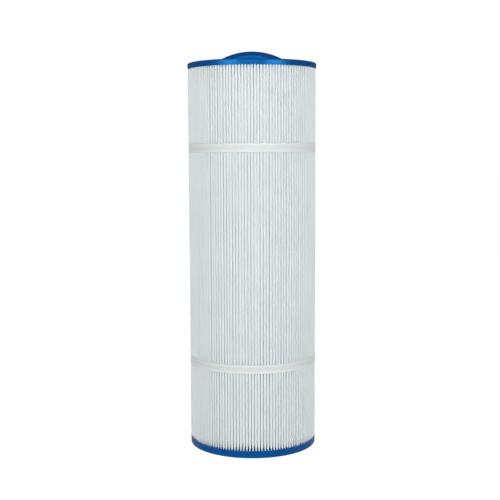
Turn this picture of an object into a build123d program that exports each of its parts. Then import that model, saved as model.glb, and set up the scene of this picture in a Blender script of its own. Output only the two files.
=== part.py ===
from build123d import *

import math
import os

# Pleated filter cartridge, millimetres, +Z up its long axis.
# The origin is the centre of the bottom cap's rest face. The lift handle runs along X.

# Overall sizes
RIM_HEIGHT = 397.0             # rest face to the top cap's rim
HANDLE_HEIGHT = 409.4          # rest face to the crown of the handle

# Bottom end cap: a cast ring with a plain outlet hole
BOTTOM_CAP_RADIUS = 65.8
BOTTOM_CAP_THICKNESS = 7.5
BOTTOM_EDGE_ROUND = 1.8
OUTLET_RADIUS = 27.0           # 2-1/8 in outlet
SEAL_RING_RADIUS = 34.0        # seal face round the outlet
REST_RING_RADIUS = 58.0        # inner edge of the outer rest ring
FACE_RELIEF = 1.2              # depth of the face between the two rings

# Top end cap: a closed casting with a finger bowl under the handle
TOP_CAP_RADIUS = 66.4
TOP_CAP_THICKNESS = 5.8
TOP_EDGE_ROUND = 1.4
LIP_INNER_RADIUS = 61.0
LIP_HEIGHT = 1.4               # rim above the flat field inside it
BOWL_MOUTH_RADIUS = 23.5
BOWL_FLOOR_RADIUS = 20.0
BOWL_DEPTH = 17.0
BOWL_WALL = 2.9
BOWL_FLOOR_ROUND = 2.5

# Lift handle: an arch bar whose feet are cast into the top cap
HANDLE_ARC_RADIUS = 68.0
HANDLE_WIDTH = 15.0
HANDLE_SLOPE_DROP = 4.2         # slope along each top edge: how far it comes down the side
HANDLE_SLOPE_RUN = 6.0          # and how far it runs in over the top
HANDLE_SLOPE_ROUND = 1.0
HANDLE_UNDER_ROUND = 2.2
FOOT_DEPTH = 3.2               # foot below the cap's field
FLANGE_THICKNESS = 1.4
FLANGE_OVERHANG = 2.0

# Core: three slotted sections that plug into each other
CORE_OUTER_RADIUS = 30.0
CORE_INNER_RADIUS = 27.6       # a little wider than the outlet
CORE_SECTIONS = 3
SPIGOT_LENGTH = 5.0
SPIGOT_RADIUS = 28.8
SOCKET_RADIUS = 28.9
SOCKET_DEPTH = 5.3
SLOT_COLUMNS = 16
SLOT_ROWS = 10
SLOT_WIDTH = 8.0
SLOT_HEIGHT = 8.2
SLOT_CUT_DEPTH = 6.0           # longer than the wall is thick
SLOT_MARGIN = 8.5              # solid ring left at each end of a section

# Pleated media
PLEAT_COUNT = 132
PLEAT_OUTER_RADIUS = 65.5
PLEAT_INNER_RADIUS = 30.5
MEDIA_THICKNESS = 0.45
TIP_HALF_WIDTH = 0.7           # half the width of an outer fold
SLIT_HALF_WIDTH = 0.1          # half the slit at the foot of a valley
SEAM_HALF_WIDTH = 1.15         # the glued pleat is wider
SEAM_INDEX = PLEAT_COUNT // 4  # the glued pleat faces +Y
SEAM_BEAD_INNER_RADIUS = 40.0
SEAM_BEAD_GAP = 0.03

# Retaining bands
BAND_HEIGHTS = {"band_lower": 90.7, "band_upper": 310.8}
BAND_WIDTH = 8.9
BAND_THICKNESS = 0.4
BAND_GAP = 0.05
BAND_RIB_WIDTH = 2.6
BAND_GROOVE_DEPTH = 0.15
BAND_LAP_ANGLE = 16.0

# Levels worked out from the sizes above
MEDIA_BOTTOM = BOTTOM_CAP_THICKNESS
MEDIA_TOP = RIM_HEIGHT - TOP_CAP_THICKNESS
FIELD_HEIGHT = RIM_HEIGHT - LIP_HEIGHT
HANDLE_CENTRE_Z = HANDLE_HEIGHT - HANDLE_ARC_RADIUS
FOOT_BOTTOM = FIELD_HEIGHT - FOOT_DEPTH
SECTION_LENGTH = (MEDIA_TOP - MEDIA_BOTTOM) / CORE_SECTIONS
SECTION_NAMES = ["core_section_lower", "core_section_middle", "core_section_upper"]

os.makedirs("parts", exist_ok=True)


def save(part, name):
    """Label a finished piece and write its STEP file."""
    part.label = name
    export_step(part, f"parts/{name}.step")


# Bottom end cap: the seal ring and the rest ring share the rest face
with BuildPart() as bottom_end_cap:
    with BuildSketch(Plane.XZ):
        with BuildLine():
            Polyline(
                (OUTLET_RADIUS, 0),
                (SEAL_RING_RADIUS, 0),
                (SEAL_RING_RADIUS + FACE_RELIEF, FACE_RELIEF),
                (REST_RING_RADIUS - FACE_RELIEF, FACE_RELIEF),
                (REST_RING_RADIUS, 0),
                (BOTTOM_CAP_RADIUS, 0),
                (BOTTOM_CAP_RADIUS, BOTTOM_CAP_THICKNESS),
                (OUTLET_RADIUS, BOTTOM_CAP_THICKNESS),
                close=True,
            )
        make_face()
    revolve(axis=Axis.Z)
    rest_face_edges = bottom_end_cap.edges().filter_by(GeomType.CIRCLE).group_by(Axis.Z)[0]
    fillet(rest_face_edges.sort_by(SortBy.RADIUS)[-1], BOTTOM_EDGE_ROUND)

save(bottom_end_cap.part, "bottom_end_cap")


# Lift handle: an arch bar with a straight foot and a buried flange at each end
foot_outer_x = math.sqrt(HANDLE_ARC_RADIUS**2 - (FIELD_HEIGHT - HANDLE_CENTRE_Z) ** 2)
under_radius = math.hypot(BOWL_MOUTH_RADIUS, FIELD_HEIGHT - HANDLE_CENTRE_Z)
under_crown_z = HANDLE_CENTRE_Z + under_radius
foot_width_x = foot_outer_x - BOWL_MOUTH_RADIUS
foot_middle_x = (foot_outer_x + BOWL_MOUTH_RADIUS) / 2

with BuildPart() as lift_handle:
    with BuildSketch(Plane.XZ):
        with BuildLine():
            ThreePointArc(
                (-foot_outer_x, FIELD_HEIGHT), (0, HANDLE_HEIGHT), (foot_outer_x, FIELD_HEIGHT)
            )
            Line((foot_outer_x, FIELD_HEIGHT), (BOWL_MOUTH_RADIUS, FIELD_HEIGHT))
            ThreePointArc(
                (BOWL_MOUTH_RADIUS, FIELD_HEIGHT), (0, under_crown_z), (-BOWL_MOUTH_RADIUS, FIELD_HEIGHT)
            )
            Line((-BOWL_MOUTH_RADIUS, FIELD_HEIGHT), (-foot_outer_x, FIELD_HEIGHT))
        make_face()
    extrude(amount=HANDLE_WIDTH / 2, both=True)
    for side_index in (0, -1):
        side_face = lift_handle.faces().sort_by(Axis.Y)[side_index]
        top_edge = side_face.edges().filter_by(GeomType.CIRCLE).sort_by(SortBy.RADIUS)[-1]
        chamfer(top_edge, HANDLE_SLOPE_DROP, HANDLE_SLOPE_RUN, reference=side_face)
    slope_edges = lift_handle.edges().filter_by(GeomType.CIRCLE).filter_by(
        lambda edge: edge.radius > HANDLE_ARC_RADIUS - HANDLE_SLOPE_DROP - 0.01
    )
    fillet(slope_edges, HANDLE_SLOPE_ROUND)
    under_edges = lift_handle.edges().filter_by(GeomType.CIRCLE).filter_by(
        lambda edge: abs(edge.radius - under_radius) < 0.01
    )
    fillet(under_edges, HANDLE_UNDER_ROUND)
    for side in (-1, 1):
        with BuildSketch(Plane.XY.offset(FOOT_BOTTOM)):
            with Locations((side * foot_middle_x, 0)):
                Rectangle(foot_width_x, HANDLE_WIDTH)
        extrude(amount=FOOT_DEPTH)
        with BuildSketch(Plane.XY.offset(FOOT_BOTTOM)):
            with Locations((side * foot_middle_x, 0)):
                Rectangle(foot_width_x + FLANGE_OVERHANG, HANDLE_WIDTH + 2 * FLANGE_OVERHANG)
        extrude(amount=FLANGE_THICKNESS)

save(lift_handle.part, "lift_handle")


# Top end cap: a disc with a raised rim, a bowl for the fingers, and the handle's feet cast in
bowl_floor_z = FIELD_HEIGHT - BOWL_DEPTH
bowl_outer_mouth_radius = BOWL_MOUTH_RADIUS + BOWL_WALL
bowl_outer_floor_radius = BOWL_FLOOR_RADIUS + BOWL_WALL

with BuildPart() as top_end_cap:
    with BuildSketch(Plane.XZ):
        with BuildLine():
            Polyline(
                (0, bowl_floor_z - BOWL_WALL),
                (bowl_outer_floor_radius, bowl_floor_z - BOWL_WALL),
                (bowl_outer_mouth_radius, MEDIA_TOP),
                (TOP_CAP_RADIUS, MEDIA_TOP),
                (TOP_CAP_RADIUS, RIM_HEIGHT),
                (LIP_INNER_RADIUS, RIM_HEIGHT),
                (LIP_INNER_RADIUS - LIP_HEIGHT, FIELD_HEIGHT),
                (BOWL_MOUTH_RADIUS, FIELD_HEIGHT),
                (BOWL_FLOOR_RADIUS, bowl_floor_z),
                (0, bowl_floor_z),
                close=True,
            )
        make_face()
    revolve(axis=Axis.Z)
    cap_circles = top_end_cap.edges().filter_by(GeomType.CIRCLE)
    rim_edge = cap_circles.group_by(Axis.Z)[-1].sort_by(SortBy.RADIUS)[-1]
    fillet(rim_edge, TOP_EDGE_ROUND)
    bowl_floor_edges = top_end_cap.edges().filter_by(GeomType.CIRCLE).filter_by(
        lambda edge: edge.radius < bowl_outer_floor_radius + 0.01
    )
    fillet(bowl_floor_edges, BOWL_FLOOR_ROUND)
    add(lift_handle.part, mode=Mode.SUBTRACT)

save(top_end_cap.part, "top_end_cap")


def core_section(bottom, socket, spigot):
    """One slotted core tube. A socket takes the spigot of the section below."""
    with BuildPart() as section:
        with BuildSketch(Plane.XY.offset(bottom)):
            Circle(CORE_OUTER_RADIUS)
            Circle(CORE_INNER_RADIUS, mode=Mode.SUBTRACT)
        extrude(amount=SECTION_LENGTH)
        if spigot:
            with BuildSketch(Plane.XY.offset(bottom + SECTION_LENGTH)):
                Circle(SPIGOT_RADIUS)
                Circle(CORE_INNER_RADIUS, mode=Mode.SUBTRACT)
            extrude(amount=SPIGOT_LENGTH)
        if socket:
            with BuildSketch(Plane.XY.offset(bottom)):
                Circle(SOCKET_RADIUS)
            extrude(amount=SOCKET_DEPTH, mode=Mode.SUBTRACT)
        row_pitch = (SECTION_LENGTH - 2 * SLOT_MARGIN - SLOT_HEIGHT) / (SLOT_ROWS - 1)
        wall_middle_radius = (CORE_OUTER_RADIUS + CORE_INNER_RADIUS) / 2
        for row in range(SLOT_ROWS):
            slot_bottom = bottom + SLOT_MARGIN + row * row_pitch
            with BuildSketch(Plane.XY.offset(slot_bottom)):
                with PolarLocations(wall_middle_radius, SLOT_COLUMNS):
                    Rectangle(SLOT_CUT_DEPTH, SLOT_WIDTH)
            extrude(amount=SLOT_HEIGHT, mode=Mode.SUBTRACT)
    return section.part


# Core sections
for index, name in enumerate(SECTION_NAMES):
    section_bottom = MEDIA_BOTTOM + index * SECTION_LENGTH
    is_first = index == 0
    is_last = index == CORE_SECTIONS - 1
    save(core_section(section_bottom, socket=not is_first, spigot=not is_last), name)


def beside(angle, radius, offset):
    """A point at a radius along a pleat's centre line, offset sideways from that line."""
    along = (math.cos(angle), math.sin(angle))
    return (radius * along[0] - offset * along[1], radius * along[1] + offset * along[0])


# Pleated media: one open folded strip whose two ends meet as the leaves of the glued pleat
pleat_angle = 2 * math.pi / PLEAT_COUNT
seam_angle = SEAM_INDEX * pleat_angle
valley_radius = PLEAT_INNER_RADIUS + MEDIA_THICKNESS
fold_radius = PLEAT_OUTER_RADIUS - MEDIA_THICKNESS
valley_half_width = SLIT_HALF_WIDTH + MEDIA_THICKNESS

outer_side = [beside(seam_angle, PLEAT_OUTER_RADIUS, SEAM_HALF_WIDTH)]
inner_side = [beside(seam_angle, PLEAT_OUTER_RADIUS, SEAM_HALF_WIDTH - MEDIA_THICKNESS)]
for pleat in range(PLEAT_COUNT):
    valley_angle = seam_angle + (pleat + 0.5) * pleat_angle
    outer_side.append(beside(valley_angle, valley_radius, -SLIT_HALF_WIDTH))
    outer_side.append(beside(valley_angle, valley_radius, SLIT_HALF_WIDTH))
    inner_side.append(beside(valley_angle, PLEAT_INNER_RADIUS, -valley_half_width))
    inner_side.append(beside(valley_angle, PLEAT_INNER_RADIUS, valley_half_width))
    if pleat < PLEAT_COUNT - 1:
        tip_angle = seam_angle + (pleat + 1) * pleat_angle
        outer_side.append(beside(tip_angle, PLEAT_OUTER_RADIUS, -TIP_HALF_WIDTH))
        outer_side.append(beside(tip_angle, PLEAT_OUTER_RADIUS, TIP_HALF_WIDTH))
        inner_side.append(beside(tip_angle, fold_radius, MEDIA_THICKNESS - TIP_HALF_WIDTH))
        inner_side.append(beside(tip_angle, fold_radius, TIP_HALF_WIDTH - MEDIA_THICKNESS))
outer_side.append(beside(seam_angle, PLEAT_OUTER_RADIUS, -SEAM_HALF_WIDTH))
inner_side.append(beside(seam_angle, PLEAT_OUTER_RADIUS, MEDIA_THICKNESS - SEAM_HALF_WIDTH))

with BuildPart() as pleated_media:
    with BuildSketch(Plane.XY.offset(MEDIA_BOTTOM)):
        with BuildLine():
            Polyline(*outer_side, *reversed(inner_side), close=True)
        make_face()
    extrude(amount=MEDIA_TOP - MEDIA_BOTTOM)

save(pleated_media.part, "pleated_media")


# Seam bead: a wedge of glue between the two end leaves
pleat_depth = PLEAT_OUTER_RADIUS - PLEAT_INNER_RADIUS
outer_cavity = SEAM_HALF_WIDTH - MEDIA_THICKNESS
inner_cavity = PLEAT_INNER_RADIUS * math.tan(pleat_angle / 2) - valley_half_width
bead_depth_share = (SEAM_BEAD_INNER_RADIUS - PLEAT_INNER_RADIUS) / pleat_depth
bead_outer_half = outer_cavity - SEAM_BEAD_GAP
bead_inner_half = inner_cavity + bead_depth_share * (outer_cavity - inner_cavity) - SEAM_BEAD_GAP

with BuildPart() as media_seam_bead:
    with BuildSketch(Plane.XY.offset(MEDIA_BOTTOM)):
        with BuildLine():
            Polyline(
                beside(seam_angle, SEAM_BEAD_INNER_RADIUS, -bead_inner_half),
                beside(seam_angle, PLEAT_OUTER_RADIUS, -bead_outer_half),
                beside(seam_angle, PLEAT_OUTER_RADIUS, bead_outer_half),
                beside(seam_angle, SEAM_BEAD_INNER_RADIUS, bead_inner_half),
                close=True,
            )
        make_face()
    extrude(amount=MEDIA_TOP - MEDIA_BOTTOM)

save(media_seam_bead.part, "media_seam_bead")


def band(middle_height):
    """A flat strap with a raised rib along each edge, lapped over itself at the back."""
    inner = PLEAT_OUTER_RADIUS + BAND_GAP
    outer = inner + BAND_THICKNESS
    floor = outer - BAND_GROOVE_DEPTH
    low = middle_height - BAND_WIDTH / 2
    high = middle_height + BAND_WIDTH / 2
    with BuildPart() as strap:
        with BuildSketch(Plane.XZ):
            with BuildLine():
                Polyline(
                    (inner, low),
                    (outer, low),
                    (outer, low + BAND_RIB_WIDTH),
                    (floor, low + BAND_RIB_WIDTH + BAND_GROOVE_DEPTH),
                    (floor, high - BAND_RIB_WIDTH - BAND_GROOVE_DEPTH),
                    (outer, high - BAND_RIB_WIDTH),
                    (outer, high),
                    (inner, high),
                    close=True,
                )
            make_face()
        revolve(axis=Axis.Z)
        with BuildSketch(Plane.XZ.rotated((0, 0, 90 - BAND_LAP_ANGLE / 2))):
            with Locations((floor + BAND_THICKNESS / 2, middle_height)):
                Rectangle(BAND_THICKNESS, BAND_WIDTH)
        revolve(axis=Axis.Z, revolution_arc=BAND_LAP_ANGLE)
    return strap.part


# Retaining bands
for name, middle_height in BAND_HEIGHTS.items():
    save(band(middle_height), name)
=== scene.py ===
import math

import bpy
import numpy as np
from mathutils import Matrix, Vector


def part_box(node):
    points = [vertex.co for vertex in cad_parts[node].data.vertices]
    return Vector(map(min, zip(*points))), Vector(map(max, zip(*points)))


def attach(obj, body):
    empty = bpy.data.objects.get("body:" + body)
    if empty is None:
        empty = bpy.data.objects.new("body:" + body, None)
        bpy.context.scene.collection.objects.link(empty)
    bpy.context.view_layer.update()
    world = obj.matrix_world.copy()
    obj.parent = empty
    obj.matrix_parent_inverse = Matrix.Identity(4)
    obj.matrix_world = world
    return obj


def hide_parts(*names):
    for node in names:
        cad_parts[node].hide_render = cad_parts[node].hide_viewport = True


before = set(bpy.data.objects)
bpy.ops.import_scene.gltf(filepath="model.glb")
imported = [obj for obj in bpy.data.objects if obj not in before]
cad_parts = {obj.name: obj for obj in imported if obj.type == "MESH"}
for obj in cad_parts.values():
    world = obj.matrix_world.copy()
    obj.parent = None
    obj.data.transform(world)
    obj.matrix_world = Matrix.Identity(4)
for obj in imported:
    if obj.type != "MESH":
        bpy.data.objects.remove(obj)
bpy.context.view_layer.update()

# The looks of a pleated filter cartridge, in metres, in the frame of its CAD model:
# +Z up the cartridge's axis, and its front towards -Y.

MM = 0.001
BODY = "root"

# Pleated cloth
PLEAT_COUNT = 132
CLOTH_THICKNESS = 0.45 * MM
POTTED_DEPTH = 1.5 * MM            # how far the cloth runs into each cap
CORE_CLEARANCE = 0.5 * MM
SHAFT_HALF_WIDTH = 0.62 * MM       # half a pleat's thickness below its fold
SLIT_HALF_WIDTH = 0.1 * MM         # half the gap inside a pleat, at the core
SHOULDER_DEPTH = 3.4 * MM          # where the bulb of a fold meets its straight leaves
FOLD_FLATNESS = 0.85               # depth of a fold's curve as a share of its half width
FOLD_HALF_WIDTH_AT_BOTTOM = 0.6 * MM
FOLD_HALF_WIDTH_AT_TOP = 1.15 * MM
FOLD_HALF_WIDTH_LOW = 1.41 * MM    # folds puff out away from the caps, a little less low down
FOLD_HALF_WIDTH_FREE = 1.44 * MM
FREE_ABOVE = 0.45                  # share of the height at which they are fully puffed out
WIDTH_VARIATION = 0.028
PUFF_LENGTH = 2.6 * MM             # how fast the folds widen away from a cap or a band
BAND_PINCH = 0.12                  # share of the puffing that a band holds back
SWELL = 0.5 * MM                   # how far the free pleats stand out past the bands and caps
DEPTH_VARIATION = 0.22 * MM
WANDER = 0.07 * MM                 # neighbours lean together
OWN_WANDER = 0.02 * MM
POTTED_WANDER = 0.08 * MM          # uneven spacing, set when the ends were potted
SHAFT_FOLLOWS = 0.8                # share of a fold's lean that its leaves follow
ROW_SPACING = 12 * MM

# The glued pleat, at the back, is open at its fold, with the glue between its two leaves.
SEAM_INDEX = PLEAT_COUNT // 4
SEAM_FOLD_HALF_WIDTH = 1.15 * MM
SEAM_SHAFT_OUTSIDE = 1.1 * MM
SEAM_SHAFT_INSIDE = 0.66 * MM

# Urethane between the pleats at the bottom cap
CREEP_LOW = 0.3 * MM
CREEP_HIGH = 4.5 * MM
CREEP_OVERLAP = 0.1 * MM           # how far it reaches into the folds beside it
CREEP_ROOT = 0.3 * MM              # how far it reaches into the cap under it
CREEP_SAG = 0.45                   # height of its middle as a share of its sides
CREEP_STATIONS = ((0.1 * MM, 1.0), (3 * MM, 0.7), (7 * MM, 0.3))  # inset, share of its height

# Bands
STRAP_SEGMENTS = 4 * PLEAT_COUNT
STRAP_THICKNESS = 0.42 * MM
STRAP_RIB_WIDTH = 2.7 * MM
STRAP_GROOVE = 0.35 * MM
STRAP_EDGE = 0.1 * MM
STRAP_CROWN = 0.02 * MM
STRAP_DIP = 0.04 * MM              # how far it sinks between two folds
LAP_THICKNESS = 0.26 * MM
LAP_ANGLE = math.radians(16)
LAP_STEPS = 56
WELD_STEPS = (3, 4, 5)             # of every 8 steps along the lap, those pressed by the welder
WELD_DEPTH = 0.22 * MM
LAP_GROOVE = 0.04 * MM
STRAP_UV_SCALE = 10

# Camera
LENS = 71.7
CAMERA_DISTANCE = 1.04
CAMERA_HEIGHT = 0.3103
AIM = Vector((-0.0025, 0.0, 0.2042))
CAMERA_ROLL = math.radians(-0.21)
SENSOR_WIDTH = 36

# Floor
FLOOR_SIZE = 12.0
FLOOR_LEVEL = -0.05 * MM


# ---------------------------------------------------------------- helpers

def smoothstep(low, high, x):
    t = np.clip((x - low) / (high - low), 0.0, 1.0)
    return t * t * (3 - 2 * t)


def smooth_field(seed, angle_steps, height_steps, angles, heights):
    """Smooth random values from -1 to 1 over angle, which wraps, and height from 0 to 1."""
    random = np.random.default_rng(seed)
    grid = random.uniform(-1, 1, (angle_steps, height_steps + 3))
    a = angles / (2 * math.pi) * angle_steps
    h = heights * height_steps
    a0 = np.floor(a).astype(int)
    h0 = np.floor(h).astype(int)
    fa = smoothstep(0, 1, a - a0)
    fh = smoothstep(0, 1, h - h0)
    low = grid[a0 % angle_steps, h0] * (1 - fa) + grid[(a0 + 1) % angle_steps, h0] * fa
    high = grid[a0 % angle_steps, h0 + 1] * (1 - fa) + grid[(a0 + 1) % angle_steps, h0 + 1] * fa
    return low * (1 - fh) + high * fh


def new_piece(name, points, faces, material, sharp_angle=50):
    mesh = bpy.data.meshes.new(name)
    mesh.from_pydata(points, [], faces)
    mesh.validate()
    mesh.polygons.foreach_set("use_smooth", [True] * len(mesh.polygons))
    mesh.set_sharp_from_angle(angle=math.radians(sharp_angle))
    mesh.materials.append(material)
    piece = bpy.data.objects.new(name, mesh)
    bpy.context.scene.collection.objects.link(piece)
    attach(piece, BODY)
    return piece


def sweep(rings, closed):
    """Faces that join rings of points, one ring after another, with flat ends on an open sweep."""
    count = len(rings[0])
    steps = len(rings)
    faces = []
    for step in range(steps if closed else steps - 1):
        here = step * count
        there = (step + 1) % steps * count
        for i in range(count):
            j = (i + 1) % count
            faces.append((here + i, there + i, there + j, here + j))
    if not closed:
        faces.append(tuple(range(count)))
        faces.append(tuple((steps - 1) * count + i for i in reversed(range(count))))
    return faces


class Shader:
    """A material with one Principled shader, and short calls for its nodes."""

    def __init__(self, name):
        self.material = bpy.data.materials.new(name)
        self.material.use_nodes = True
        self.tree = self.material.node_tree
        self.surface = self.tree.nodes["Principled BSDF"]
        self.place = self.node("ShaderNodeTexCoord").outputs["Object"]

    def node(self, kind, **settings):
        made = self.tree.nodes.new(kind)
        for key, value in settings.items():
            setattr(made, key, value)
        return made

    def link(self, source, target):
        self.tree.links.new(source, target)

    def scaled(self, x, y, z):
        """The place on the surface, stretched by a scale along each axis."""
        mapping = self.node("ShaderNodeMapping")
        self.link(self.place, mapping.inputs["Vector"])
        mapping.inputs["Scale"].default_value = (x, y, z)
        return mapping.outputs["Vector"]

    def noise(self, scale, detail=3, roughness=0.55, vector=None):
        made = self.node("ShaderNodeTexNoise")
        made.inputs["Scale"].default_value = scale
        made.inputs["Detail"].default_value = detail
        made.inputs["Roughness"].default_value = roughness
        self.link(vector or self.place, made.inputs["Vector"])
        return made.outputs["Fac"]

    def ramp(self, value, stops):
        made = self.node("ShaderNodeValToRGB")
        elements = made.color_ramp.elements
        while len(elements) < len(stops):
            elements.new(0.5)
        for element, (position, color) in zip(elements, stops):
            element.position = position
            element.color = (*color, 1)
        self.link(value, made.inputs["Fac"])
        return made.outputs["Color"]

    def range(self, value, low, high, out_low, out_high):
        made = self.node("ShaderNodeMapRange")
        self.link(value, made.inputs["Value"])
        made.inputs["From Min"].default_value = low
        made.inputs["From Max"].default_value = high
        made.inputs["To Min"].default_value = out_low
        made.inputs["To Max"].default_value = out_high
        return made.outputs["Result"]

    def mix(self, share, first, second, blend_type="MIX"):
        made = self.node("ShaderNodeMix", data_type="RGBA", blend_type=blend_type)
        for socket, value in ((0, share), (6, first), (7, second)):
            if isinstance(value, bpy.types.NodeSocket):
                self.link(value, made.inputs[socket])
            else:
                made.inputs[socket].default_value = value
        return made.outputs[2]

    def math(self, operation, first, second=None):
        made = self.node("ShaderNodeMath", operation=operation)
        for socket, value in ((0, first), (1, second)):
            if isinstance(value, bpy.types.NodeSocket):
                self.link(value, made.inputs[socket])
            elif value is not None:
                made.inputs[socket].default_value = value
        return made.outputs["Value"]

    def bump(self, height, distance, strength, onto=None):
        made = self.node("ShaderNodeBump")
        made.inputs["Strength"].default_value = strength
        made.inputs["Distance"].default_value = distance
        self.link(height, made.inputs["Height"])
        if onto:
            self.link(onto, made.inputs["Normal"])
        return made.outputs["Normal"]

    def feed(self, socket, source):
        self.link(source, self.surface.inputs[socket])

    def constant(self, **values):
        for socket, value in values.items():
            self.surface.inputs[socket.replace("_", " ")].default_value = value


# ---------------------------------------------------------------- materials

def cloth_material():
    """Dry spunbonded polyester: matt, cool white, faintly cloudy, with fine random fibres."""
    s = Shader("spunbonded_polyester")
    clouds = s.noise(45, detail=4)
    fibres = s.noise(1, detail=5, roughness=0.7, vector=s.scaled(1500, 1500, 420))
    tone = s.ramp(clouds, [(0.3, (0.765, 0.832, 0.842)), (0.7, (0.790, 0.857, 0.867))])
    fibre_tone = s.ramp(fibres, [(0.3, (0.955, 0.955, 0.955)), (0.7, (1, 1, 1))])
    s.feed("Base Color", s.mix(1.0, tone, fibre_tone, "MULTIPLY"))
    s.feed("Roughness", s.range(fibres, 0.3, 0.7, 0.82, 0.95))
    s.feed("Normal", s.bump(fibres, 0.03 * MM, 0.35))
    s.constant(Specular_IOR_Level=0.2)
    s.constant(Subsurface_Weight=0.65, Subsurface_Radius=(1.0, 1.0, 1.0), Subsurface_Scale=1.3 * MM)
    return s.material


def strap_material():
    """White polyester strap with a fine slanting weave, and painted shade that makes it a little
    darker along its groove.
    """
    s = Shader("woven_strap")
    uv = s.node("ShaderNodeUVMap").outputs["UV"]
    waves = []
    for turn in (38, -38):
        mapping = s.node("ShaderNodeMapping")
        s.link(uv, mapping.inputs["Vector"])
        mapping.inputs["Rotation"].default_value = (0, 0, math.radians(turn))
        wave = s.node("ShaderNodeTexWave", wave_type="BANDS", bands_direction="X")
        wave.inputs["Scale"].default_value = 260
        wave.inputs["Distortion"].default_value = 0.4
        s.link(mapping.outputs["Vector"], wave.inputs["Vector"])
        waves.append(wave.outputs["Fac"])
    weave = s.math("MULTIPLY", waves[0], waves[1])
    fuzz = s.noise(900, detail=4)
    tone = s.ramp(weave, [(0.0, (0.70, 0.745, 0.738)), (0.5, (0.80, 0.84, 0.832))])
    tone = s.mix(0.25, tone, s.ramp(fuzz, [(0.3, (0.69, 0.735, 0.73)), (0.7, (0.85, 0.885, 0.88))]))
    # Painted shade: the middle of the groove is multiplied by 0.93, fading out towards the ribs, as if
    # shade fell in the groove
    across = s.node("ShaderNodeSeparateXYZ")
    s.link(uv, across.inputs["Vector"])
    off_centre = s.math("ABSOLUTE", s.math("SUBTRACT", across.outputs["Y"], 0.0445))
    outside_painted_groove_shade = s.range(off_centre, 0.012, 0.024, 0.0, 1.0)
    s.feed("Base Color", s.mix(outside_painted_groove_shade, s.mix(1.0, tone, (0.93, 0.93, 0.93, 1), "MULTIPLY"), tone))
    s.feed("Roughness", s.range(fuzz, 0.3, 0.7, 0.55, 0.75))
    s.feed("Normal", s.bump(weave, 0.08 * MM, 0.8))
    s.constant(Specular_IOR_Level=0.35)
    return s.material


def urethane_material(name, matt_from, matt_to):
    """Blue urethane: satin, but matt where it faces up, with faint orange peel and tiny pits."""
    s = Shader(name)
    clouds = s.noise(60, detail=3)
    s.feed("Base Color", s.ramp(clouds, [(0.3, (0.0, 0.056, 0.242)), (0.7, (0.0, 0.065, 0.273))]))
    peel = s.noise(420, detail=2)
    fine = s.noise(2600, detail=2)
    pits = s.node("ShaderNodeTexVoronoi", feature="F1")
    pits.inputs["Scale"].default_value = 320
    s.link(s.place, pits.inputs["Vector"])
    pit_depth = s.range(pits.outputs["Distance"], 0.0, 0.16, 0.0, 1.0)
    normal = s.node("ShaderNodeSeparateXYZ")
    s.link(s.node("ShaderNodeNewGeometry").outputs["Normal"], normal.inputs["Vector"])
    upward = s.range(normal.outputs["Z"], matt_from, matt_to, 0.0, 1.0)
    satin = s.range(clouds, 0.3, 0.7, 0.27, 0.36)
    s.feed("Roughness", s.math("ADD", satin, s.math("MULTIPLY", upward, 0.3)))
    s.feed("Specular IOR Level", s.range(upward, 0.0, 1.0, 0.9, 0.2))
    rough = s.bump(peel, 0.05 * MM, 0.35)
    rough = s.bump(fine, 0.01 * MM, 0.3, onto=rough)
    s.feed("Normal", s.bump(pit_depth, 0.03 * MM, 0.4, onto=rough))
    s.constant(IOR=1.75, Specular_Tint=(0.03, 0.4, 1.0, 1.0))
    return s.material


def core_material():
    """Natural white moulded polypropylene."""
    s = Shader("moulded_polypropylene")
    clouds = s.noise(80, detail=3)
    grain = s.noise(1800, detail=2)
    s.feed("Base Color", s.ramp(clouds, [(0.3, (0.70, 0.72, 0.71)), (0.7, (0.78, 0.79, 0.775))]))
    s.feed("Roughness", s.range(grain, 0.3, 0.7, 0.42, 0.55))
    s.feed("Normal", s.bump(grain, 0.02 * MM, 0.4))
    return s.material


def glue_material():
    """Set hot-melt glue: off-white and waxy."""
    s = Shader("hot_melt_glue")
    lumps = s.noise(500, detail=3)
    s.feed("Base Color", s.ramp(lumps, [(0.3, (0.66, 0.67, 0.60)), (0.7, (0.76, 0.76, 0.69))]))
    s.feed("Roughness", s.range(lumps, 0.3, 0.7, 0.3, 0.45))
    s.feed("Normal", s.bump(lumps, 0.2 * MM, 0.5))
    return s.material


CLOTH = cloth_material()
STRAP = strap_material()
CAP_URETHANE = urethane_material("cast_blue_urethane", 0.8, 1.0)
HANDLE_URETHANE = urethane_material("moulded_blue_handle", 0.2, 0.6)
CORE = core_material()
GLUE = glue_material()

for node, material in {
    "top_end_cap": CAP_URETHANE,
    "bottom_end_cap": CAP_URETHANE,
    "lift_handle": HANDLE_URETHANE,
    "core_section_lower": CORE,
    "core_section_middle": CORE,
    "core_section_upper": CORE,
    "media_seam_bead": GLUE,
}.items():
    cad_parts[node].data.materials.clear()
    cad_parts[node].data.materials.append(material)


# ---------------------------------------------------------------- pleated cloth

CLOTH_LOW, CLOTH_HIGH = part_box("pleated_media")
OUTER_RADIUS = CLOTH_HIGH.x
INNER_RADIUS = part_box("core_section_middle")[1].x + CORE_CLEARANCE
BAND_MIDDLES = [(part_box(n)[0].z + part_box(n)[1].z) / 2 for n in ("band_lower", "band_upper")]
BAND_HALF = (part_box("band_lower")[1].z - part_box("band_lower")[0].z) / 2
PITCH = 2 * math.pi / PLEAT_COUNT
FOLD_TURNS = np.radians([-82, -42, 0, 42, 82])


def cloth_heights():
    """Row heights: close together at the caps and the bands, wider apart between them."""
    low = CLOTH_LOW.z
    high = CLOTH_HIGH.z
    stops = [low, *BAND_MIDDLES, high]
    rows = [low - POTTED_DEPTH]
    for start, end in zip(stops, stops[1:]):
        steps = round((end - start) / ROW_SPACING)
        shares = (1 - np.cos(np.linspace(0, math.pi, steps + 1))) / 2
        shares = 0.5 * shares + 0.5 * np.linspace(0, 1, steps + 1)  # halfway between cosine and even
        rows.extend(start + shares[:-1] * (end - start))
    rows.extend([high, high + POTTED_DEPTH])
    return np.array(rows)


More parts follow.
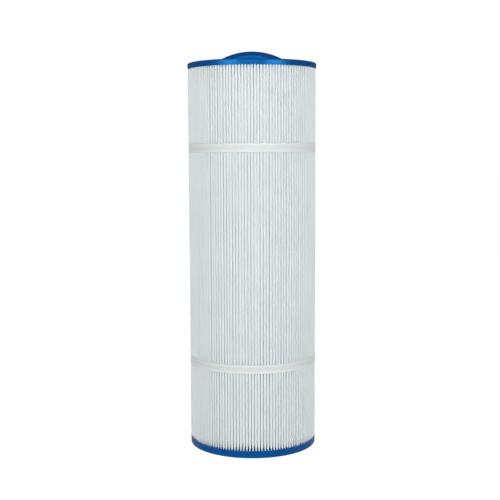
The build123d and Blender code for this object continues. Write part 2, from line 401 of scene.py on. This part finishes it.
def pleat_shape(heights):
    """Each pleat's lean along the circle, fold half width and outer radius, by pleat and height."""
    angles = np.arange(PLEAT_COUNT) * 2 * math.pi / PLEAT_COUNT
    angle_grid, height_grid = np.meshgrid(angles, heights, indexing="ij")
    length = CLOTH_HIGH.z - CLOTH_LOW.z
    share = np.clip((height_grid - CLOTH_LOW.z) / length, 0, 1)
    to_cap = np.minimum(height_grid - CLOTH_LOW.z, CLOTH_HIGH.z - height_grid)
    freedom = 1 - np.exp(-np.maximum(to_cap, 0) / PUFF_LENGTH)
    swell = freedom
    for middle in BAND_MIDDLES:
        from_band = np.maximum(np.abs(height_grid - middle) - BAND_HALF, 0)
        freedom = freedom * (1 - BAND_PINCH * np.exp(-from_band / PUFF_LENGTH))
        swell = swell * (1 - np.exp(-from_band / PUFF_LENGTH))
    together = smooth_field(11, 26, 2, angle_grid, share)
    fixed = smooth_field(12, PLEAT_COUNT, 1, angle_grid, share * 0)
    alone = smooth_field(13, PLEAT_COUNT, 2, angle_grid, share)
    lean = WANDER * freedom * together + OWN_WANDER * freedom * alone + POTTED_WANDER * fixed
    width_noise = smooth_field(14, PLEAT_COUNT, 1, angle_grid, share)
    at_cap = np.where(share < 0.5, FOLD_HALF_WIDTH_AT_BOTTOM, FOLD_HALF_WIDTH_AT_TOP)
    gain = (FOLD_HALF_WIDTH_FREE - FOLD_HALF_WIDTH_LOW) * smoothstep(0, FREE_ABOVE, share)
    half = at_cap + (FOLD_HALF_WIDTH_LOW + gain - at_cap) * freedom
    half = half * (1 + WIDTH_VARIATION * width_noise)
    radius_noise = smooth_field(15, PLEAT_COUNT, 2, angle_grid, share)
    setback = DEPTH_VARIATION * (1 + radius_noise) * (0.35 + 0.65 * freedom)
    radius = OUTER_RADIUS + SWELL * swell - setback
    return lean, half, radius


def around(angle, radius, sideways):
    """Points at a radius along a pleat's own line, moved sideways from it."""
    return (
        radius * np.cos(angle) - sideways * np.sin(angle),
        radius * np.sin(angle) + sideways * np.cos(angle),
    )


def fold(angle, radius, width):
    """Lines of points round the curve of one fold, from its left side to its right."""
    return [
        around(angle, radius - width * (1 - np.cos(turn)) * FOLD_FLATNESS, width * np.sin(turn))
        for turn in FOLD_TURNS
    ]


def pleated_cloth():
    """One open strip of cloth, folded round the core, whose two ends meet at the seam."""
    heights = cloth_heights()
    lean, half, radius = pleat_shape(heights)
    outside = []
    inside = []
    flat = heights * 0
    for step in range(PLEAT_COUNT + 1):
        pleat = (SEAM_INDEX + step) % PLEAT_COUNT
        angle = SEAM_INDEX * PITCH + step * PITCH
        tip_angle = angle + lean[pleat] / OUTER_RADIUS
        shaft_angle = angle + SHAFT_FOLLOWS * lean[pleat] / OUTER_RADIUS
        tip = radius[pleat]
        shoulder = tip - SHOULDER_DEPTH
        if step == 0:
            width = SEAM_FOLD_HALF_WIDTH
            outside.append(around(tip_angle, tip, width))
            outside.append(around(shaft_angle, shoulder, SEAM_SHAFT_OUTSIDE))
            inside.append(around(tip_angle, tip, width - CLOTH_THICKNESS))
            inside.append(around(shaft_angle, shoulder, SEAM_SHAFT_INSIDE))
        elif step == PLEAT_COUNT:
            width = SEAM_FOLD_HALF_WIDTH
            outside.append(around(shaft_angle, shoulder, -SEAM_SHAFT_OUTSIDE))
            outside.append(around(tip_angle, tip, -width))
            inside.append(around(shaft_angle, shoulder, -SEAM_SHAFT_INSIDE))
            inside.append(around(tip_angle, tip, CLOTH_THICKNESS - width))
            break
        else:
            width = half[pleat]
            shaft = SHAFT_HALF_WIDTH
            shaft_in = SHAFT_HALF_WIDTH - CLOTH_THICKNESS
            outside.append(around(shaft_angle, shoulder, -shaft))
            outside += fold(tip_angle, tip, width)
            outside.append(around(shaft_angle, shoulder, shaft))
            inside.append(around(shaft_angle, shoulder, -shaft_in))
            inside += fold(tip_angle, tip - CLOTH_THICKNESS, width - CLOTH_THICKNESS)
            inside.append(around(shaft_angle, shoulder, shaft_in))
        valley = angle + PITCH / 2
        floor_out = INNER_RADIUS + CLOTH_THICKNESS + flat
        floor_in = INNER_RADIUS + flat
        for side in (-1, 1):
            outside.append(around(valley, floor_out, side * SLIT_HALF_WIDTH))
            inside.append(around(valley, floor_in, side * (SLIT_HALF_WIDTH + CLOTH_THICKNESS)))
    ring = outside + inside[::-1]
    stations = len(outside)
    count = len(ring)
    xs = np.array([p[0] + flat for p in ring])
    ys = np.array([p[1] + flat for p in ring])
    points = [
        (xs[i, row], ys[i, row], heights[row])
        for row in range(len(heights))
        for i in range(count)
    ]
    faces = []
    for row in range(len(heights) - 1):
        base = row * count
        for i in range(count):
            j = (i + 1) % count
            faces.append((base + i, base + j, base + count + j, base + count + i))
    top = (len(heights) - 1) * count
    for i in range(stations - 1):
        twin = count - 1 - i
        faces.append((i, twin, twin - 1, i + 1))
        faces.append((top + i, top + i + 1, top + twin - 1, top + twin))
    return new_piece("pleated_cloth", points, faces, CLOTH), heights


cloth, cloth_rows = pleated_cloth()
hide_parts("pleated_media")


def potting_creep():
    """Urethane that crept up between the pleats when the bottom cap was cast, unevenly."""
    random = np.random.default_rng(21)
    cap_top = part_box("bottom_end_cap")[1].z
    gaps = np.arange(PLEAT_COUNT)
    clusters = (smooth_field(22, 24, 1, gaps * PITCH, gaps * 0.0) + 1) / 2
    points = []
    faces = []
    for gap in gaps:
        angle = (gap + 0.5) * PITCH
        crest = CREEP_LOW + (CREEP_HIGH - CREEP_LOW) * clusters[gap] ** 2 * random.uniform(0.3, 1)
        rings = []
        for inset, share in CREEP_STATIONS:
            radius = OUTER_RADIUS - inset
            height = crest * share
            puffed = 1 - math.exp(-height / PUFF_LENGTH)
            widening = (FOLD_HALF_WIDTH_LOW - FOLD_HALF_WIDTH_AT_BOTTOM) * puffed
            foot_half = radius * PITCH / 2 - FOLD_HALF_WIDTH_AT_BOTTOM + CREEP_OVERLAP
            top_half = foot_half - widening
            rings.append([
                (*around(angle, radius, sideways), cap_top + up)
                for sideways, up in (
                    (-foot_half, -CREEP_ROOT),
                    (foot_half, -CREEP_ROOT),
                    (top_half, height),
                    (0, CREEP_SAG * height),
                    (-top_half, height),
                )
            ])
        start = len(points)
        faces += [tuple(start + i for i in face) for face in sweep(rings, False)]
        points += [point for ring in rings for point in ring]
    return new_piece("potting_creep", points, faces, CAP_URETHANE)


potting_creep()


# ---------------------------------------------------------------- bands

def strap_profile(inner, outer, groove, width):
    """Corners of a strap's section as (radius, height): a rib along each edge, a groove between."""
    rib = STRAP_RIB_WIDTH
    half = [
        (inner, 0.0),
        (outer - STRAP_EDGE, 0.0),
        (outer - STRAP_CROWN, STRAP_EDGE),
        (outer, rib * 0.4),
        (outer - STRAP_CROWN, rib * 0.8),
        (groove, rib * 1.05),
    ]
    return half + [(radius, width - height) for radius, height in reversed(half)]


def strap(node):
    """A strap pulled tight over the folds, with its welded lap at the back."""
    low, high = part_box(node)
    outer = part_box("band_lower")[1].x
    width = high.z - low.z

    def ring(angle, profile):
        dip = STRAP_DIP * (1 - math.cos(angle * PLEAT_COUNT)) / 2
        return [
            ((radius - dip) * math.cos(angle), (radius - dip) * math.sin(angle), low.z + height)
            for radius, height in profile
        ]

    around_it = strap_profile(outer - STRAP_THICKNESS, outer, outer - STRAP_GROOVE, width)
    turn = 2 * math.pi
    rings = [ring(turn * step / STRAP_SEGMENTS, around_it) for step in range(STRAP_SEGMENTS)]
    faces = sweep(rings, True)
    lap = []
    lap_top = outer + LAP_THICKNESS
    for step in range(LAP_STEPS + 1):
        angle = math.pi / 2 + LAP_ANGLE * (step / LAP_STEPS - 0.5)
        groove = WELD_DEPTH if step % 8 in WELD_STEPS else LAP_GROOVE
        profile = strap_profile(outer - STRAP_THICKNESS / 2, lap_top, lap_top - groove, width)
        lap.append(ring(angle, profile))
    start = sum(len(r) for r in rings)
    faces += [tuple(start + i for i in face) for face in sweep(lap, False)]
    points = [point for r in rings + lap for point in r]
    piece = new_piece(node + "_strap", points, faces, STRAP, 40)
    add_strap_uv(piece.data, outer, low.z)
    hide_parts(node)


def add_strap_uv(mesh, radius, lower_edge):
    """Lengths along and across the strap, in metres times STRAP_UV_SCALE, for its weave."""
    layer = mesh.uv_layers.new(name="strap")
    for polygon in mesh.polygons:
        angles = []
        for index in polygon.loop_indices:
            point = mesh.vertices[mesh.loops[index].vertex_index].co
            angles.append(math.atan2(point.y, point.x))
        wraps = max(angles) - min(angles) > math.pi
        for index, angle in zip(polygon.loop_indices, angles):
            if wraps and angle < 0:
                angle += 2 * math.pi
            height = mesh.vertices[mesh.loops[index].vertex_index].co.z - lower_edge
            layer.data[index].uv = (angle * radius * STRAP_UV_SCALE, height * STRAP_UV_SCALE)


for node in ("band_lower", "band_upper"):
    strap(node)


# ---------------------------------------------------------------- stage, light and camera

def camera_only(tree, seen, other):
    """One value where the camera looks at it, and another for all other rays."""
    path = tree.nodes.new("ShaderNodeLightPath")
    choice = tree.nodes.new("ShaderNodeMix")
    choice.inputs["A"].default_value = other
    choice.inputs["B"].default_value = seen
    tree.links.new(path.outputs["Is Camera Ray"], choice.inputs["Factor"])
    return choice.outputs["Result"]


def stage_floor():
    """A pale floor that is just white to the eye, so that it doesn't eat into the outline."""
    corners = [
        (x * FLOOR_SIZE, y * FLOOR_SIZE, FLOOR_LEVEL)
        for x, y in ((-1, -1), (1, -1), (1, 1), (-1, 1))
    ]
    mesh = bpy.data.meshes.new("floor")
    mesh.from_pydata(corners, [], [(0, 1, 2, 3)])
    s = Shader("pale_floor")
    s.constant(Roughness=0.9, Specular_IOR_Level=0.1, Emission_Color=(1, 1, 1, 1))
    s.feed("Base Color", camera_only(s.tree, 0.08, 0.6))
    s.feed("Emission Strength", camera_only(s.tree, 1.0, 0.05))
    mesh.materials.append(s.material)
    floor = bpy.data.objects.new("floor", mesh)
    bpy.context.scene.collection.objects.link(floor)


def softbox(name, azimuth, distance, height, width, tall, radiance, reflected=True):
    """An upright area light that faces the cartridge. Azimuth 0 is in front of it."""
    light = bpy.data.lights.new(name, "AREA")
    light.shape = "RECTANGLE"
    light.size = width
    light.size_y = tall
    light.energy = radiance * math.pi * width * tall
    lamp = bpy.data.objects.new(name, light)
    lamp.visible_camera = False
    lamp.visible_glossy = reflected
    a = math.radians(azimuth)
    lamp.location = (distance * math.sin(a), -distance * math.cos(a), height)
    aim = Vector((0, 0, height)) - lamp.location
    lamp.rotation_euler = aim.to_track_quat("-Z", "Y").to_euler()
    bpy.context.scene.collection.objects.link(lamp)


def studio_world():
    """White to the eye, a dim room for the light it gives, and a dark one in reflections."""
    world = bpy.data.worlds.new("studio")
    bpy.context.scene.world = world
    world.use_nodes = True
    tree = world.node_tree
    place = tree.nodes.new("ShaderNodeTexCoord")
    split = tree.nodes.new("ShaderNodeSeparateXYZ")
    tree.links.new(place.outputs["Generated"], split.inputs["Vector"])

    def room(at_horizon, overhead):
        ramp = tree.nodes.new("ShaderNodeMapRange")
        ramp.inputs["From Max"].default_value = 0.6
        ramp.inputs["To Min"].default_value = at_horizon
        ramp.inputs["To Max"].default_value = overhead
        tree.links.new(split.outputs["Z"], ramp.inputs["Value"])
        return ramp.outputs["Result"]

    path = tree.nodes.new("ShaderNodeLightPath")
    strength = room(0.34, 0.2)
    for kind, seen in (("Is Glossy Ray", room(0.05, 0.3)), ("Is Camera Ray", None)):
        choice = tree.nodes.new("ShaderNodeMix")
        tree.links.new(path.outputs[kind], choice.inputs["Factor"])
        tree.links.new(strength, choice.inputs["A"])
        if seen:
            tree.links.new(seen, choice.inputs["B"])
        else:
            choice.inputs["B"].default_value = 1.03
        strength = choice.outputs["Result"]
    background = tree.nodes["Background"]
    background.inputs["Color"].default_value = (1, 1, 1, 1)
    tree.links.new(strength, background.inputs["Strength"])


stage_floor()
studio_world()
softbox("front_left", -38, 1.5, 0.6, 0.8, 0.9, 4.55)
softbox("front_right", 40, 1.5, 0.6, 0.8, 0.9, 4.55)
softbox("front_fill", 0, 1.9, 0.45, 0.7, 0.7, 2.6)
softbox("side_left", -68, 1.8, 0.6, 0.8, 0.9, 0.5, reflected=False)
softbox("side_right", 68, 1.8, 0.6, 0.8, 0.9, 0.5, reflected=False)
softbox("back", 180, 1.9, 0.55, 0.8, 0.9, 7.2)
softbox("back_left", -130, 1.8, 0.6, 0.8, 0.9, 2.1, reflected=False)
softbox("back_right", 130, 1.8, 0.6, 0.8, 0.9, 2.1, reflected=False)

camera_data = bpy.data.cameras.new("camera")
camera_data.lens = LENS
camera_data.sensor_width = SENSOR_WIDTH
camera = bpy.data.objects.new("camera", camera_data)
camera.location = (0, -CAMERA_DISTANCE, CAMERA_HEIGHT)
look = (AIM - camera.location).to_track_quat("-Z", "Y").to_matrix().to_4x4()
camera.matrix_world = Matrix.Translation(camera.location) @ look @ Matrix.Rotation(CAMERA_ROLL, 4, "Z")
bpy.context.scene.collection.objects.link(camera)
bpy.context.scene.camera = camera
bpy.context.scene.view_settings.view_transform = "Standard"
